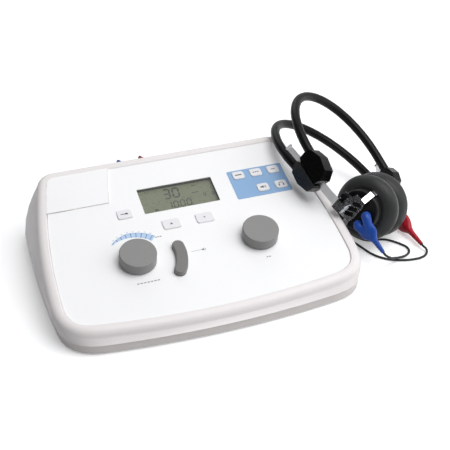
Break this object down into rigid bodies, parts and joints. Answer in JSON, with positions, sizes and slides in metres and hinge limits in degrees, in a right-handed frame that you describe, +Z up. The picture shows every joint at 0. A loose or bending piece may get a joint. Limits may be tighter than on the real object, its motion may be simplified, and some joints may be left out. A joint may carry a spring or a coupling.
{
  "type": "audiometer",
  "caption": "Desk audiometer with a sloped keypad deck, display, level knobs and tone bar, and a wire-band headset with blue and red leads.",
  "frame": {"origin": "middle of the front foot strip, at its underside on the table", "axes": "+X along the longest extent towards the headset, -Y towards the operator, +Z up"},
  "size_m": [0.4084, 0.2877, 0.1151],
  "materials": {
    "cream_shell": "satin",
    "grey_tray": "satin",
    "white_overlay": "satin",
    "white_keys": "satin",
    "grey_knob": "matte",
    "clear_window": "clear",
    "lcd_panel": "satin",
    "board": "satin",
    "steel": "satin",
    "chrome": "polished",
    "dark_plastic": "satin",
    "band_rubber": "matte",
    "cushion_rubber": "matte",
    "blue_moulding": "satin",
    "red_moulding": "satin",
    "cord_rubber": "matte",
    "foot_rubber": "matte"
  },
  "bodies": {
    "console": {"base_shell": "grey_tray", "top_shell": "cream_shell", "overlay_panel": "white_overlay", "display_window": "clear_window", "lcd_module": "lcd_panel", "main_board": "board", "key_switches": "dark_plastic", "encoders": "steel", "rear_plate": "dark_plastic", "phone_jacks": "dark_plastic", "power_inlet": "dark_plastic", "foot_strips": "foot_rubber", "case_screws": "steel", "blue_lead": "cord_rubber", "red_lead": "cord_rubber", "blue_coil": "cord_rubber", "red_coil": "cord_rubber", "blue_tail": "cord_rubber", "red_tail": "cord_rubber", "coil_ties": "dark_plastic"},
    "left_dial": {"left_knob": "grey_knob", "left_shaft": "steel"},
    "right_dial": {"right_knob": "grey_knob", "right_shaft": "steel"},
    "tone_key": {"tone_bar": "grey_knob"},
    "rocker": {"power_rocker": "dark_plastic"},
    "headband": {"upper_sleeve": "band_rubber", "lower_sleeve": "band_rubber", "band_wires": "steel", "near_block": "dark_plastic", "far_block": "dark_plastic"},
    "near_arm": {"near_rod": "chrome", "near_yoke": "chrome"},
    "far_arm": {"far_rod": "chrome", "far_yoke": "chrome"},
    "near_earphone": {"near_capsule": "dark_plastic", "near_driver": "steel", "near_cushion": "cushion_rubber", "blue_boot": "blue_moulding"},
    "far_earphone": {"far_capsule": "dark_plastic", "far_driver": "steel", "far_cushion": "cushion_rubber", "red_boot": "red_moulding"},
    "blue_jack_plug": {"blue_plug": "blue_moulding"},
    "red_jack_plug": {"red_plug": "red_moulding"},
    "display_key_side_button": {"display_key_side": "white_keys"},
    "display_key_left_button": {"display_key_left": "white_keys"},
    "display_key_right_button": {"display_key_right": "white_keys"},
    "mode_key_1_button": {"mode_key_1": "white_keys"},
    "mode_key_2_button": {"mode_key_2": "white_keys"},
    "mode_key_3_button": {"mode_key_3": "white_keys"},
    "mode_key_4_button": {"mode_key_4": "white_keys"},
    "mode_key_5_button": {"mode_key_5": "white_keys"}
  },
  "joints": [
    {"name": "left_dial_turn", "type": "hinge", "parent": "console", "child": "left_dial", "pos_m": [-0.0618, 0.04994, 0.03848], "axis": [0, -0.2385, 0.9711], "continuous": true},
    {"name": "right_dial_turn", "type": "hinge", "parent": "console", "child": "right_dial", "pos_m": [0.0618, 0.04994, 0.03848], "axis": [0, -0.2385, 0.9711], "continuous": true},
    {"name": "tone_bar_press", "type": "slide", "parent": "console", "child": "tone_key", "axis": [0, 0.2385, -0.9711], "range_m": [0, 0.0015], "stiffness_N_per_m": 600, "springref_m": -0.001},
    {"name": "display_key_side_press", "type": "slide", "parent": "console", "child": "display_key_side_button", "axis": [0, 0.2385, -0.9711], "range_m": [0, 0.0008], "stiffness_N_per_m": 500, "springref_m": -0.001},
    {"name": "display_key_left_press", "type": "slide", "parent": "console", "child": "display_key_left_button", "axis": [0, 0.2385, -0.9711], "range_m": [0, 0.0008], "stiffness_N_per_m": 500, "springref_m": -0.001},
    {"name": "display_key_right_press", "type": "slide", "parent": "console", "child": "display_key_right_button", "axis": [0, 0.2385, -0.9711], "range_m": [0, 0.0008], "stiffness_N_per_m": 500, "springref_m": -0.001},
    {"name": "mode_key_1_press", "type": "slide", "parent": "console", "child": "mode_key_1_button", "axis": [0, 0.2385, -0.9711], "range_m": [0, 0.0008], "stiffness_N_per_m": 500, "springref_m": -0.001},
    {"name": "mode_key_2_press", "type": "slide", "parent": "console", "child": "mode_key_2_button", "axis": [0, 0.2385, -0.9711], "range_m": [0, 0.0008], "stiffness_N_per_m": 500, "springref_m": -0.001},
    {"name": "mode_key_3_press", "type": "slide", "parent": "console", "child": "mode_key_3_button", "axis": [0, 0.2385, -0.9711], "range_m": [0, 0.0008], "stiffness_N_per_m": 500, "springref_m": -0.001},
    {"name": "mode_key_4_press", "type": "slide", "parent": "console", "child": "mode_key_4_button", "axis": [0, 0.2385, -0.9711], "range_m": [0, 0.0008], "stiffness_N_per_m": 500, "springref_m": -0.001},
    {"name": "mode_key_5_press", "type": "slide", "parent": "console", "child": "mode_key_5_button", "axis": [0, 0.2385, -0.9711], "range_m": [0, 0.0008], "stiffness_N_per_m": 500, "springref_m": -0.001},
    {"name": "rocker_tip", "type": "hinge", "parent": "console", "child": "rocker", "pos_m": [0.038, 0.177, 0.044], "axis": [1, 0, 0], "range_deg": [-8, 0]},
    {"name": "headset_lift", "type": "slide", "parent": "console", "child": "headband", "axis": [0, 0, 1], "range_m": [0, 0.04], "deforming": ["blue_lead", "red_lead"]},
    {"name": "near_arm_slide", "type": "slide", "parent": "headband", "child": "near_arm", "axis": [0.4078, -0.7488, -0.5224], "range_m": [0, 0.012], "deforming": ["blue_lead", "near_cushion", "far_cushion"]},
    {"name": "far_arm_slide", "type": "slide", "parent": "headband", "child": "far_arm", "axis": [-0.3327, -0.9425, -0.0311], "range_m": [-0.008, 0], "deforming": ["red_lead", "near_cushion", "far_cushion"]},
    {"name": "near_earphone_tilt", "type": "hinge", "parent": "near_arm", "child": "near_earphone", "pos_m": [0.17217, 0.05136, 0.04536], "axis": [-0.5129, 0.2085, -0.8328], "range_deg": [-8, 8], "deforming": ["blue_lead", "near_cushion", "far_cushion"]},
    {"name": "far_earphone_tilt", "type": "hinge", "parent": "far_arm", "child": "far_earphone", "pos_m": [0.21129, 0.07927, 0.02826], "axis": [-0.5129, 0.2085, -0.8328], "range_deg": [-8, 8], "deforming": ["red_lead", "near_cushion", "far_cushion"]},
    {"name": "blue_plug_pull", "type": "slide", "parent": "console", "child": "blue_jack_plug", "axis": [0, 1, 0], "range_m": [0, 0.032], "deforming": ["blue_tail"]},
    {"name": "red_plug_pull", "type": "slide", "parent": "console", "child": "red_jack_plug", "axis": [0, 1, 0], "range_m": [0, 0.032], "deforming": ["red_tail"]}
  ]
}
